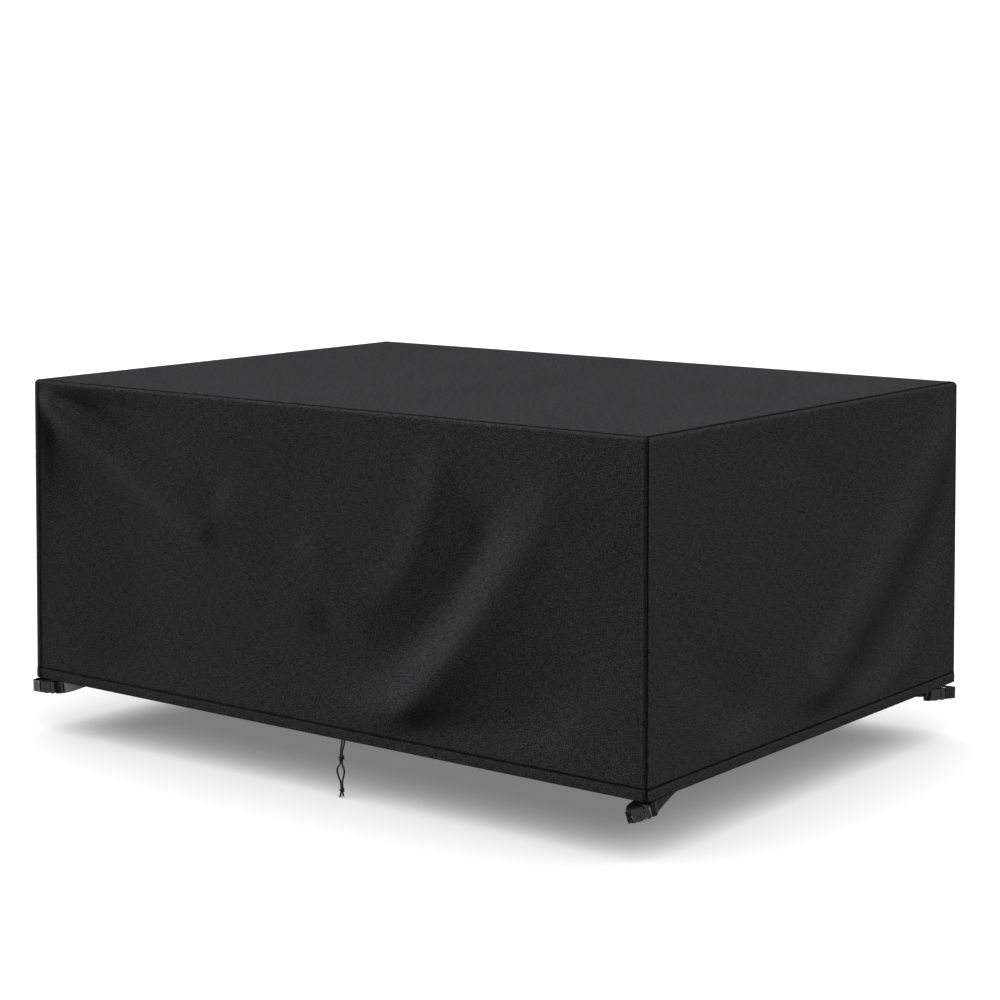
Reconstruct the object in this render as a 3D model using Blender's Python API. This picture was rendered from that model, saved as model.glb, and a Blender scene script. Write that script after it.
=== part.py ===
"""Fitted rectangular cover for patio furniture, as it hangs in use.

Five sewn panels of coated black cloth make a box 0.8 m tall that is open underneath. A hem
with a drawcord in it runs round the foot, and below each corner a strap with a side-release
buckle is clipped into a loop.

Metres, +Z up. The origin is the middle of the top panel's underside, where the cover is
carried; +X runs along the long sides, and the front panel faces -Y.
"""

import math
from collections import namedtuple

import bmesh
import bpy
from mathutils import Matrix, Vector, geometry

# Driving sizes.
HEM_LENGTH = 1.972  # over the cloth at the hem, along X
HEM_WIDTH = 1.450  # along Y
HEIGHT = 0.800  # top of the cover to the foot of the hem
LEAN = 0.004  # how far each side stands out further at the hem than at the top
SHEET = 0.0018  # coated cloth with its turned seams
SEAM_GAP = 0.0003  # between pieces that touch
ROLL = 0.012  # soft shoulder of the side panels under the top seam
TOP_CORNER = 0.003  # the top panel's corners in plan
WALL_CORNER = 0.007  # the upright corners in plan
HEM_DEPTH = 0.028  # stitch line to the foot of the hem
HEM_SWELL = 0.0012  # the folded hem stands proud by this much on both faces
WEBBING_WIDTH = 0.030
WEBBING_THICK = 0.0016
BUCKLE_THICK = 0.0095
BUCKLE_EDGE = 0.002  # rounding of the buckle's edges
BUCKLE_LEAD = 0.004  # webbing that runs straight into each end of a buckle
CORD = 0.0046
KNOT_ROUNDING = 0.35  # of the knot's radius

# Spacing of the cloth's points.
FINE_STEP = 0.047  # on the two sides with most folds
PLAIN_STEP = 0.090  # on the plainer ones
FIRST_STEP = 0.030  # from the shoulder down to the first row
SHOULDER_TILTS = (0, 30, 60, 90)
HEM_PROFILE = ((0.11, 0.7), (0.5, 1.0), (0.93, 0.8), (1.0, 0.3))  # (share of depth, of swell)

# The cloth can't fold near what holds it. It is free this far away.
FREE_OF_TOP = 0.07
FREE_OF_CORNER = 0.08
FREE_OF_HEM = 0.09
FREE_OF_STRAP = (0.18, 0.30)  # from the foot of the corner: where freedom starts, and is full
FREE_OF_SEAM = 0.15  # on the top panel

UP = Vector((0, 0, 1))
HEM_FOOT = SHEET - HEIGHT
STITCH_DEPTH = HEIGHT - HEM_DEPTH
SEAM_X = HEM_LENGTH / 2 - LEAN - ROLL
SEAM_Y = HEM_WIDTH / 2 - LEAN - ROLL
CORNER_TURNS = [math.radians(turn) for turn in (15, 30, 45)]
HEM_INSIDE = SHEET + HEM_SWELL  # inner face of the hem, inwards from the wall's outer plane
OUTER_PLY = HEM_INSIDE + SEAM_GAP + WEBBING_THICK / 2
INNER_PLY = OUTER_PLY + WEBBING_THICK + 2 * SEAM_GAP

# A fold runs from start to end and is drawn towards pull. Places are (distance from the
# panel's left edge, depth below the top), seen from outside. A rise below zero is a trough.
Fold = namedtuple("Fold", "start pull end half_width rise_start rise_end")

FRONT_FOLDS = (
    Fold((0.03, 0.03), (0.36, 0.165), (0.78, 0.37), 0.045, 0.018, 0.002),
    Fold((0.56, 0.26), (0.95, 0.44), (1.20, 0.73), 0.085, 0.003, 0.005),
    Fold((0.32, 0.02), (0.60, 0.05), (0.88, 0.13), 0.045, 0.005, 0.001),
    Fold((0.12, 0.01), (0.42, 0.05), (0.70, 0.17), 0.048, -0.016, -0.003),
    Fold((0.24, 0.22), (0.42, 0.42), (0.40, 0.66), 0.190, -0.011, -0.006),
    Fold((1.00, 0.36), (1.24, 0.62), (1.38, 0.12), 0.055, 0.005, 0.004),
    Fold((1.04, 0.54), (1.26, 0.73), (1.52, 0.26), 0.060, -0.006, -0.008),
    Fold((1.70, 0.18), (1.50, 0.50), (1.22, 0.77), 0.075, 0.006, 0.018),
    Fold((1.80, 0.24), (1.66, 0.48), (1.44, 0.66), 0.110, 0.003, 0.004),
    Fold((1.78, 0.58), (1.66, 0.68), (1.44, 0.76), 0.110, -0.003, -0.010),
)
RIGHT_FOLDS = (
    Fold((1.42, 0.13), (1.13, 0.39), (0.74, 0.68), 0.082, 0.011, 0.017),
    Fold((1.40, 0.30), (1.22, 0.55), (0.96, 0.70), 0.080, -0.012, -0.010),
    Fold((1.30, 0.56), (1.28, 0.66), (1.18, 0.74), 0.080, 0.005, 0.007),
    Fold((0.08, 0.44), (0.22, 0.57), (0.38, 0.66), 0.110, -0.006, -0.012),
    Fold((0.56, 0.08), (0.70, 0.15), (0.84, 0.26), 0.080, -0.004, -0.006),
)
BACK_FOLDS = (
    Fold((1.92, 0.04), (1.30, 0.34), (0.95, 0.70), 0.080, 0.012, 0.006),
    Fold((0.10, 0.08), (0.44, 0.34), (0.62, 0.70), 0.080, 0.010, 0.007),
    Fold((0.90, 0.20), (1.10, 0.36), (1.30, 0.22), 0.090, -0.008, -0.008),
)
LEFT_FOLDS = (
    Fold((0.04, 0.06), (0.50, 0.36), (0.70, 0.70), 0.080, 0.012, 0.006),
    Fold((1.38, 0.10), (1.08, 0.40), (0.94, 0.68), 0.080, 0.008, 0.008),
    Fold((0.60, 0.20), (0.78, 0.36), (0.98, 0.20), 0.090, -0.008, -0.006),
)
TOP_FOLDS = (  # on the top, (distance from the left edge, distance from the front)
    Fold((0.20, 0.25), (0.90, 0.60), (1.70, 0.40), 0.160, -0.003, -0.004),
    Fold((0.35, 1.15), (0.90, 0.95), (1.60, 1.10), 0.160, -0.004, -0.003),
    Fold((0.90, 0.10), (1.05, 0.70), (0.95, 1.30), 0.110, 0.002, 0.002),
)

Panel = namedtuple("Panel", "name along out half_length distance step folds")
FRONT, RIGHT = Vector((0, -1, 0)), Vector((1, 0, 0))
PANELS = (
    Panel("front_panel", RIGHT, FRONT, SEAM_X, SEAM_Y, FINE_STEP, FRONT_FOLDS),
    Panel("right_panel", -FRONT, RIGHT, SEAM_Y, SEAM_X, FINE_STEP, RIGHT_FOLDS),
    Panel("back_panel", -RIGHT, -FRONT, SEAM_X, SEAM_Y, PLAIN_STEP, BACK_FOLDS),
    Panel("left_panel", FRONT, -RIGHT, SEAM_Y, SEAM_X, PLAIN_STEP, LEFT_FOLDS),
)

# Below each corner a strap is sewn inside one panel's hem. Places are (u, v, z): u along that
# panel from the corner, v inwards from its outer face, z from the foot of the hem. The short
# ply goes straight to the buckle. The long ply loops inwards and comes back to the buckle's
# other end. The last stretch of each, up to the buckle, is worked out.
LEFT_SHORT_PLY = (
    (0.210, OUTER_PLY, 0.0220),
    (0.180, OUTER_PLY, 0.0120),
    (0.145, OUTER_PLY, -0.0020),
    (0.115, 0.0065, -0.0120),
    (0.094, 0.0105, -0.0180),
)
LEFT_LONG_PLY = (
    (0.210, INNER_PLY, 0.0220),
    (0.187, 0.0072, 0.0143),
    (0.155, 0.0120, 0.0030),
    (0.108, 0.0320, -0.0110),
    (0.066, 0.0460, -0.0180),
    (0.036, 0.0460, -0.0205),
    (0.008, 0.0370, -0.0220),
    (-0.0110, 0.0210, -0.0230),
    (-0.0115, 0.0060, -0.0235),
    (-0.0040, -0.0060, -0.0235),
)
NEAR_SHORT_PLY = (
    (0.150, OUTER_PLY, 0.0250),
    (0.125, OUTER_PLY, 0.0160),
    (0.100, OUTER_PLY, 0.0070),
    (0.070, OUTER_PLY, -0.0050),
    (0.044, OUTER_PLY, -0.0160),
)
NEAR_LONG_PLY = (
    (0.150, INNER_PLY, 0.0250),
    (0.132, 0.0072, 0.0190),
    (0.112, 0.0125, 0.0120),
    (0.0661, 0.0281, -0.0050),
    (0.0463, 0.0431, -0.0175),
    (0.0285, 0.0546, -0.0255),
    (0.0109, 0.0569, -0.0310),
    (-0.0018, 0.0521, -0.0345),
    (-0.0082, 0.0465, -0.0360),
)
RIGHT_SHORT_PLY = (
    (0.172, OUTER_PLY, 0.0190),
    (0.158, OUTER_PLY, 0.0130),
    (0.142, 0.0062, 0.0055),
    (0.120, 0.0210, -0.0080),
    (0.100, 0.0370, -0.0215),
)
RIGHT_LONG_PLY = (
    (0.172, INNER_PLY, 0.0190),
    (0.163, 0.0072, 0.0155),
    (0.153, 0.0112, 0.0115),
    (0.132, 0.0330, 0.0010),
    (0.106, 0.0570, -0.0130),
    (0.074, 0.0650, -0.0220),
    (0.040, 0.0630, -0.0270),
    (0.010, 0.0530, -0.0305),
    (-0.0100, 0.0400, -0.0325),
    (-0.0165, 0.0240, -0.0330),
    (-0.0125, 0.0100, -0.0320),
    (0.0000, 0.0005, -0.0295),
)
# middle is the buckle's, heading its turn from u towards v, and drop how far it dips, in degrees.
Strap = namedtuple("Strap", "name corner u v middle heading drop prong_first short_ply long_ply")
NEAR = Strap(
    "near", (1, -1), (0, 1), (-1, 0), (0.0066, 0.0200, -0.0277), 128, 18, True,
    NEAR_SHORT_PLY, NEAR_LONG_PLY,
)
FAR_RIGHT = Strap(
    "right", (1, 1), (0, -1), (-1, 0), (0.0552, 0.0231, -0.0270), 209, 0, False,
    RIGHT_SHORT_PLY, RIGHT_LONG_PLY,
)
LEFT = Strap(
    "left", (-1, -1), (1, 0), (0, 1), (0.0460, 0.0015, -0.0220), 195, 1, True,
    LEFT_SHORT_PLY, LEFT_LONG_PLY,
)
BACK = LEFT._replace(name="back", corner=(-1, 1), v=(0, -1))
STRAPS = (NEAR, FAR_RIGHT, LEFT, BACK)

# Half outlines of the two buckle parts: (distance from the webbing's end, half width).
SOCKET_OUTLINE = (
    (0.0000, 0.0148), (0.0020, 0.0166), (0.0100, 0.0170), (0.0170, 0.0160),
    (0.0275, 0.0160), (0.0340, 0.0170), (0.0368, 0.0162),
)
PRONG_OUTLINE = (
    (0.0000, 0.0148), (0.0020, 0.0162), (0.0080, 0.0162),
    (0.0115, 0.0182), (0.0168, 0.0182), (0.0182, 0.0168),
)
BUCKLE_LENGTH = SOCKET_OUTLINE[-1][0] + SEAM_GAP + PRONG_OUTLINE[-1][0]

# The drawcord hangs from the front hem. Knots are (x, lowest z, highest z, radius), and the
# routes are (x, z), with z below the foot of the hem.
CORD_Y = -(HEM_WIDTH / 2 - SHEET / 2)
UPPER_KNOT = (0.0996, -0.0525, -0.0365, 0.0085)
LOWER_KNOT = (0.1011, -0.1285, -0.1165, 0.0065)
CORD_ROUTES = {
    "cord_left_top": ((0.1021, -SEAM_GAP), (0.1011, -0.012), (0.0981, -0.026), (0.0971, -0.0365)),
    "cord_right_top": ((0.1096, -SEAM_GAP), (0.1081, -0.012), (0.1034, -0.026), (0.1021, -0.0365)),
    "cord_left_loop": (
        (0.0971, -0.0525), (0.0956, -0.060), (0.0886, -0.069), (0.0861, -0.079),
        (0.0901, -0.091), (0.0966, -0.102), (0.0986, -0.1165),
    ),
    "cord_right_loop": (
        (0.1021, -0.0525), (0.1026, -0.060), (0.1071, -0.069), (0.1091, -0.078),
        (0.1066, -0.089), (0.1030, -0.103), (0.1036, -0.1165),
    ),
    "cord_left_end": ((0.0986, -0.1285), (0.0971, -0.134), (0.0951, -0.1410)),
    "cord_right_end": ((0.1036, -0.1285), (0.1048, -0.132), (0.1056, -0.1375)),
}


def clear_scene():
    for old in list(bpy.data.objects):
        bpy.data.objects.remove(old, do_unlink=True)


def surface(name, colour, roughness):
    made = bpy.data.materials.new(name)
    made.use_nodes = True
    shader = made.node_tree.nodes["Principled BSDF"]
    shader.inputs["Base Color"].default_value = (*colour, 1.0)
    shader.inputs["Roughness"].default_value = roughness
    shader.inputs["Metallic"].default_value = 0.0
    return made


def add_object(name, data, material, parent=None):
    made = bpy.data.objects.new(name, data)
    bpy.context.scene.collection.objects.link(made)
    data.materials.append(material)
    made.parent = parent
    return made


def mesh_from(bm, name, smooth_angle=40):
    bmesh.ops.recalc_face_normals(bm, faces=bm.faces)
    mesh = bpy.data.meshes.new(name)
    bm.to_mesh(mesh)
    bm.free()
    mesh.shade_smooth()
    mesh.set_sharp_from_angle(angle=math.radians(smooth_angle))
    return mesh


def ease(value, low, high):
    """0 below low, 1 above high, with a soft change between."""
    t = min(max((value - low) / (high - low), 0.0), 1.0)
    return t * t * (3 - 2 * t)


def fold_rise(place, folds):
    """How far the folds lift the cloth at a place on its panel."""
    total = 0.0
    for fold in folds:
        start, pull, end = Vector(fold.start), Vector(fold.pull), Vector(fold.end)
        nearest = None
        for step in range(17):
            t = step / 16
            spot = start * (1 - t) ** 2 + pull * 2 * t * (1 - t) + end * t * t
            distance = (place - spot).length
            if nearest is None or distance < nearest[0]:
                nearest = (distance, t)
        distance, t = nearest
        rise = fold.rise_start + (fold.rise_end - fold.rise_start) * t
        total += rise * math.exp(-((distance / fold.half_width) ** 2))
    return total


def side_slack(across, depth, width):
    """1 where the cloth is free to fold, 0 where a seam, the drawn hem or a strap holds it."""
    from_edge = min(across, width - across)
    from_strap = math.hypot(from_edge, HEIGHT - depth)
    under_top = ease(depth, ROLL, ROLL + FREE_OF_TOP)
    off_corner = ease(from_edge, WALL_CORNER, FREE_OF_CORNER)
    over_hem = 1 - ease(depth, STITCH_DEPTH - FREE_OF_HEM, STITCH_DEPTH)
    return under_top * off_corner * over_hem * ease(from_strap, *FREE_OF_STRAP)


def closed_sheet(outer, inner):
    """A closed body between two equal grids of points, both split along the same diagonals."""
    bm = bmesh.new()
    skins = [[[bm.verts.new(point) for point in line] for line in grid] for grid in (outer, inner)]
    lines, points = len(outer), len(outer[0])
    for i in range(lines - 1):
        for j in range(points - 1):
            quad = [(i, j), (i, j + 1), (i + 1, j + 1), (i + 1, j)]
            falling = (outer[i][j] - outer[i + 1][j + 1]).length
            if (outer[i][j + 1] - outer[i + 1][j]).length < falling:
                quad = quad[1:] + quad[:1]
            for skin, order in zip(skins, (1, -1)):
                corners = [skin[line][point] for line, point in quad]
                bm.faces.new(corners[:3][::order])
                bm.faces.new([*corners[2:], corners[0]][::order])
    rim = [(0, j) for j in range(points)]
    rim += [(i, points - 1) for i in range(1, lines)]
    rim += [(lines - 1, j) for j in range(points - 2, -1, -1)]
    rim += [(i, 0) for i in range(lines - 2, 0, -1)]
    for (i, j), (k, m) in zip(rim, rim[1:] + rim[:1]):
        bm.faces.new((skins[0][k][m], skins[0][i][j], skins[1][i][j], skins[1][k][m]))
    return bm


def side_rows(step):
    """(depth, reach outwards, plan radius at the corners, tilt, share of swell) down a side."""
    rows = []
    for tilt in SHOULDER_TILTS:
        turn = math.radians(tilt)
        radius = TOP_CORNER + (WALL_CORNER - TOP_CORNER) * math.sin(turn)
        rows.append((ROLL * (1 - math.cos(turn)), ROLL * math.sin(turn), radius, turn, 0.0))
    first = ROLL + FIRST_STEP
    count = round((STITCH_DEPTH - first) / step)
    depths = [first + (STITCH_DEPTH - first) * i / count for i in range(count + 1)]
    levels = [(depth, 0.0) for depth in depths]
    levels += [(STITCH_DEPTH + HEM_DEPTH * share, swell) for share, swell in HEM_PROFILE]
    for depth, swell in levels:
        lean = LEAN * (depth - ROLL) / (HEIGHT - ROLL)
        rows.append((depth, ROLL + lean, WALL_CORNER, math.pi / 2, swell))
    return rows


def side_stations(panel):
    """(place on the straight run, -1 to 1, and turn round the corner), left to right."""
    count = round(2 * panel.half_length / panel.step)
    stations = [(-1, -turn) for turn in reversed(CORNER_TURNS)]
    stations += [(2 * i / count - 1, 0.0) for i in range(count + 1)]
    stations += [(1, turn) for turn in CORNER_TURNS]
    return stations


def side_panel(panel, material):
    outer, inner = [], []
    width = 2 * (panel.half_length + ROLL)
    for depth, reach, radius, tilt, swell in side_rows(panel.step):
        outer_line, inner_line = [], []
        for share, turn in side_stations(panel):
            facing = panel.along * math.sin(turn) + panel.out * math.cos(turn)
            run = share * (panel.half_length + reach - radius)
            place = Vector((run + width / 2, depth))
            slack = 0.0 if turn else side_slack(place.x, depth, width)
            rise = slack * fold_rise(place, panel.folds) if slack else 0.0
            proud = HEM_SWELL * swell
            point = panel.along * run + panel.out * (panel.distance + reach - radius + rise)
            point += facing * (radius + proud) + UP * (SHEET - depth)
            if abs(turn) == CORNER_TURNS[-1]:
                round_corner = panel.along * math.cos(turn) - panel.out * math.sin(turn)
                point -= round_corner * math.copysign(SEAM_GAP / 2, turn)
            face = facing * math.sin(tilt) + UP * math.cos(tilt)
            outer_line.append(point)
            inner_line.append(point - face * (SHEET + 2 * proud))
        outer.append(outer_line)
        inner.append(inner_line)
    mesh = mesh_from(closed_sheet(outer, inner), panel.name)
    return add_object(panel.name, mesh, material)


def top_panel(material):
    """Flat sheet inside the top seam, with faint sags."""
    half_x, half_y = SEAM_X - SEAM_GAP, SEAM_Y - SEAM_GAP
    bm = bmesh.new()
    bmesh.ops.create_grid(bm, x_segments=16, y_segments=12, size=1.0)
    bmesh.ops.scale(bm, vec=(half_x, half_y, 1), verts=bm.verts)
    for vert in bm.verts:
        place = Vector((vert.co.x + half_x, vert.co.y + half_y))
        from_seam = min(half_x - abs(vert.co.x), half_y - abs(vert.co.y))
        vert.co.z = SHEET + ease(from_seam, 0.0, FREE_OF_SEAM) * fold_rise(place, TOP_FOLDS)
    under = bmesh.ops.extrude_face_region(bm, geom=list(bm.faces))["geom"]
    under = [item for item in under if isinstance(item, bmesh.types.BMVert)]
    bmesh.ops.translate(bm, vec=(0, 0, -SHEET), verts=under)
    upright = []
    for edge in bm.edges:
        middle = (edge.verts[0].co + edge.verts[1].co) / 2
        from_corner = math.hypot(abs(middle.x) - half_x, abs(middle.y) - half_y)
        if from_corner < SEAM_GAP:
            upright.append(edge)
    bmesh.ops.bevel(bm, geom=upright, offset=TOP_CORNER - SEAM_GAP, segments=6, affect="EDGES", profile=0.5)
    return add_object("top_panel", mesh_from(bm, "top_panel"), material)


def smooth_route(places, pieces):
    """Points of a smooth curve through the places, each stretch in the given number of pieces."""
    places = [Vector(place) for place in places]
    slopes = [places[1] - places[0]]
    slopes += [(after - before) / 2 for before, after in zip(places, places[2:])]
    slopes.append(places[-1] - places[-2])
    points = [places[0]]
    for i in range(len(places) - 1):
        handles = (places[i] + slopes[i] / 3, places[i + 1] - slopes[i + 1] / 3)
        points += geometry.interpolate_bezier(places[i], *handles, places[i + 1], pieces + 1)[1:]
    return points


def axes_along(ahead, side):
    """(ahead, across, flat) for what runs ahead with its width as close to side as it can be."""
    ahead = ahead.normalized()
    across = (side - ahead * side.dot(ahead)).normalized()
    return ahead, across, ahead.cross(across)


def webbing(name, route, pieces, buckle_side, material, parent):
    """Flat strap, its width upright as far as halfway and turning to the buckle's by the end."""
    points = smooth_route(route, pieces)
    heads = [route[1] - route[0]]
    heads += [after - before for before, after in zip(points, points[2:])]
    heads[-pieces + 1:] = [route[-1] - route[-2]] * pieces
    bm = bmesh.new()
    rings = []
    for i, (point, ahead) in enumerate(zip(points, heads)):
        side = UP.lerp(buckle_side, ease(i / (len(points) - 1), 0.5, 1.0))
        _, across, flat = axes_along(ahead, side)
        edge, face = across * WEBBING_WIDTH / 2, flat * WEBBING_THICK / 2
        corners = (edge + face, face - edge, -edge - face, edge - face)
        rings.append([bm.verts.new(point + corner) for corner in corners])
    for ring, following in zip(rings, rings[1:]):
        for i in range(4):
            bm.faces.new((ring[i], ring[i - 1], following[i - 1], following[i]))
    bm.faces.new(rings[0])
    bm.faces.new(rings[-1][::-1])
    return add_object(name, mesh_from(bm, name), material, parent)


def moulded_part(name, half_outline, pose, material, parent):
    """Buckle part: an outline with its webbing end at x = 0, moulded with rounded edges."""
    bm = bmesh.new()
    outline = [*half_outline, *((x, -y) for x, y in reversed(half_outline))]
    face = bm.faces.new([bm.verts.new((x, y, -BUCKLE_THICK / 2)) for x, y in outline])
    top = bmesh.ops.extrude_face_region(bm, geom=[face])["geom"]
    top = [item for item in top if isinstance(item, bmesh.types.BMVert)]
    bmesh.ops.translate(bm, vec=(0, 0, BUCKLE_THICK), verts=top)
    bmesh.ops.recalc_face_normals(bm, faces=bm.faces)
    rims = [edge for edge in bm.edges if abs(edge.verts[0].co.z - edge.verts[1].co.z) < SEAM_GAP]
    bmesh.ops.bevel(bm, geom=rims, offset=BUCKLE_EDGE, segments=2, affect="EDGES", profile=0.5)
    made = add_object(name, mesh_from(bm, name), material, parent)
    made.matrix_local = pose
    return made


def corner_strap(strap, tape, plastic):
    """One corner's webbing plies and clipped buckle, parented to an empty at the hem's corner."""
    anchor = bpy.data.objects.new("corner_" + strap.name, None)
    bpy.context.scene.collection.objects.link(anchor)
    side_x, side_y = strap.corner
    anchor.location = (side_x * HEM_LENGTH / 2, side_y * HEM_WIDTH / 2, HEM_FOOT)
    u, v = Vector((*strap.u, 0)), Vector((*strap.v, 0))

    def placed(place):
        return u * place[0] + v * place[1] + UP * place[2]

    turn, drop = math.radians(strap.heading), math.radians(strap.drop)
    level = u * math.cos(turn) + v * math.sin(turn)
    ahead, across, flat = axes_along(level * math.cos(drop) - UP * math.sin(drop), UP)
    first_end = placed(strap.middle) - ahead * BUCKLE_LENGTH / 2
    last_end = placed(strap.middle) + ahead * BUCKLE_LENGTH / 2
    towards = Matrix((ahead, across, flat)).transposed().to_4x4()
    backwards = Matrix((-ahead, across, -flat)).transposed().to_4x4()
    first, last = Matrix.Translation(first_end) @ towards, Matrix.Translation(last_end) @ backwards
    prong_pose, socket_pose = (first, last) if strap.prong_first else (last, first)
    moulded_part("buckle_prong_" + strap.name, PRONG_OUTLINE, prong_pose, plastic, anchor)
    moulded_part("buckle_socket_" + strap.name, SOCKET_OUTLINE, socket_pose, plastic, anchor)

    lead, seat = ahead * BUCKLE_LEAD, ahead * SEAM_GAP
    short_route = [placed(place) for place in strap.short_ply]
    short_route += [first_end - seat - lead, first_end - seat]
    long_route = [placed(place) for place in strap.long_ply]
    long_route += [last_end + seat + lead, last_end + seat]
    webbing("strap_short_" + strap.name, short_route, 2, across, tape, anchor)
    webbing("strap_long_" + strap.name, long_route, 3, across, tape, anchor)


def cord_tube(name, route, material):
    """Round cord along a smooth route in the hem's plane."""
    places = [Vector((x, CORD_Y, HEM_FOOT + z)) for x, z in route]
    start, end = places[0], places[-1]
    lead = UP * CORD / 2
    points = [start, *smooth_route([start - lead, *places[1:-1], end + lead], 2), end]
    curve = bpy.data.curves.new(name, "CURVE")
    curve.dimensions = "3D"
    curve.bevel_depth = CORD / 2
    curve.bevel_resolution = 2
    curve.use_fill_caps = True
    spline = curve.splines.new("POLY")
    spline.points.add(len(points) - 1)
    for spline_point, point in zip(spline.points, points):
        spline_point.co = (*point, 1.0)
    return add_object(name, curve, material)


def cord_knot(name, knot, material):
    """Pulled-tight knot: a short round lump with flat ends where the cords enter."""
    x, low, high, radius = knot
    bm = bmesh.new()
    length = high - low - 2 * SEAM_GAP
    bmesh.ops.create_cone(bm, cap_ends=True, segments=12, radius1=radius, radius2=radius, depth=length)
    ends = [edge for edge in bm.edges if abs(edge.verts[0].co.z - edge.verts[1].co.z) < SEAM_GAP]
    bmesh.ops.bevel(bm, geom=ends, offset=radius * KNOT_ROUNDING, segments=2, affect="EDGES", profile=0.5)
    made = add_object(name, mesh_from(bm, name), material)
    made.location = (x, CORD_Y, HEM_FOOT + (low + high) / 2)
    return made


def build():
    clear_scene()
    cloth = surface("cover_cloth", (0.022, 0.022, 0.023), 0.62)
    tape = surface("strap_webbing", (0.014, 0.014, 0.015), 0.70)
    plastic = surface("buckle_plastic", (0.012, 0.012, 0.013), 0.30)
    braid = surface("drawcord_braid", (0.012, 0.012, 0.012), 0.75)
    top_panel(cloth)
    for panel in PANELS:
        side_panel(panel, cloth)
    for strap in STRAPS:
        corner_strap(strap, tape, plastic)
    for name, route in CORD_ROUTES.items():
        cord_tube(name, route, braid)
    cord_knot("knot_upper", UPPER_KNOT, braid)
    cord_knot("knot_lower", LOWER_KNOT, braid)
    bpy.context.view_layer.update()


build()
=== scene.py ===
import math

import bpy
import numpy as np
from mathutils import Matrix, Vector, geometry


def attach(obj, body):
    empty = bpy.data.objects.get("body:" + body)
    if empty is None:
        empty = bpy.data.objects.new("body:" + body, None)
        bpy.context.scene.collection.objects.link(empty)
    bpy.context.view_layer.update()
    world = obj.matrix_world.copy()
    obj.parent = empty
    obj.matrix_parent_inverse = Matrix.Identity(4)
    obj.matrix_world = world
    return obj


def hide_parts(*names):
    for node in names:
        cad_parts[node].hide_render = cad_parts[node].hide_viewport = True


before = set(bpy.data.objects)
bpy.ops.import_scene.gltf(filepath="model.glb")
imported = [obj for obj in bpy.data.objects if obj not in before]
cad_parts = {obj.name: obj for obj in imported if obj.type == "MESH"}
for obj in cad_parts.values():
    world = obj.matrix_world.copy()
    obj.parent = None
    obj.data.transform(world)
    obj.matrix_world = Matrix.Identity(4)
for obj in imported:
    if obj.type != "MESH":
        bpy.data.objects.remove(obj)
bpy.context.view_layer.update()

print("frame loaded:", len(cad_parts), "nodes")


def deselectAll():
    if bpy.context.object and bpy.context.object.mode != "OBJECT":
        bpy.ops.object.mode_set(mode="OBJECT")
    bpy.ops.object.select_all(action="DESELECT")


def pick(piece):
    deselectAll()
    piece.select_set(True)
    bpy.context.view_layer.objects.active = piece


def applyModifier(piece, kind, **settings):
    pick(piece)
    modifier = piece.modifiers.new(kind.title(), kind)
    for name, value in settings.items():
        setattr(modifier, name, value)
    bpy.ops.object.modifier_apply(modifier=modifier.name)


def ease(value, low, high):
    t = np.clip((value - low) / (high - low), 0.0, 1.0)
    return t * t * (3 - 2 * t)


def unit(vectors):
    return vectors / np.linalg.norm(vectors, axis=-1, keepdims=True)


def runningLength(points):
    steps = np.linalg.norm(np.diff(points, axis=0), axis=1)
    return np.concatenate([[0], np.cumsum(steps)])


def gridPiece(name, places, uvs):
    # a grid primitive laid over rows and columns of places, its first row on top
    rows, columns = places.shape[:2]
    deselectAll()
    bpy.ops.mesh.primitive_grid_add(x_subdivisions=columns - 1, y_subdivisions=rows - 1, size=2)
    piece = bpy.context.object
    piece.name = piece.data.name = name
    mesh = piece.data
    flat = np.empty(len(mesh.vertices) * 3, np.float32)
    mesh.vertices.foreach_get("co", flat)
    flat = flat.reshape(-1, 3)
    column = np.rint((flat[:, 0] + 1) / 2 * (columns - 1)).astype(int)
    row = np.rint((1 - flat[:, 1]) / 2 * (rows - 1)).astype(int)
    mesh.vertices.foreach_set("co", places[row, column].astype(np.float32).ravel())
    corner = np.empty(len(mesh.loops), np.int32)
    mesh.loops.foreach_get("vertex_index", corner)
    unwrapped = uvs[row[corner], column[corner]].astype(np.float32)
    mesh.uv_layers[0].data.foreach_set("uv", unwrapped.ravel())
    mesh.update()
    return piece, row, column


def finishPiece(piece, material, replaced=(), smoothAngle=180):
    piece.data.materials.clear()
    piece.data.materials.append(material)
    pick(piece)
    if smoothAngle >= 180:
        bpy.ops.object.shade_smooth()
    else:
        bpy.ops.object.shade_smooth_by_angle(angle=math.radians(smoothAngle))
    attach(piece, "root")
    if replaced:
        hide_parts(*replaced)


def smoothRoute(places, pieces):
    # the same curve through the places as in the part's source, with more points
    places = [Vector(place) for place in places]
    slopes = [places[1] - places[0]]
    slopes += [(after - before) / 2 for before, after in zip(places, places[2:])]
    slopes.append(places[-1] - places[-2])
    points = [places[0]]
    for i in range(len(places) - 1):
        handles = (places[i] + slopes[i] / 3, places[i + 1] - slopes[i + 1] / 3)
        points += geometry.interpolate_bezier(places[i], *handles, places[i + 1], pieces + 1)[1:]
    return np.array([tuple(point) for point in points])


def headings(points):
    ahead = np.empty_like(points)
    ahead[1:-1] = points[2:] - points[:-2]
    ahead[0], ahead[-1] = points[1] - points[0], points[-1] - points[-2]
    return unit(ahead)


def closeTube(piece):
    # merges the seam of a rolled-up grid and fills its two ends
    pick(piece)
    bpy.ops.object.mode_set(mode="EDIT")
    bpy.ops.mesh.select_all(action="SELECT")
    bpy.ops.mesh.remove_doubles(threshold=1e-6)
    bpy.ops.mesh.select_all(action="DESELECT")
    bpy.ops.mesh.select_non_manifold()
    bpy.ops.mesh.fill_holes(sides=0)
    bpy.ops.mesh.select_all(action="SELECT")
    bpy.ops.mesh.normals_make_consistent(inside=False)
    bpy.ops.object.mode_set(mode="OBJECT")


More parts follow.
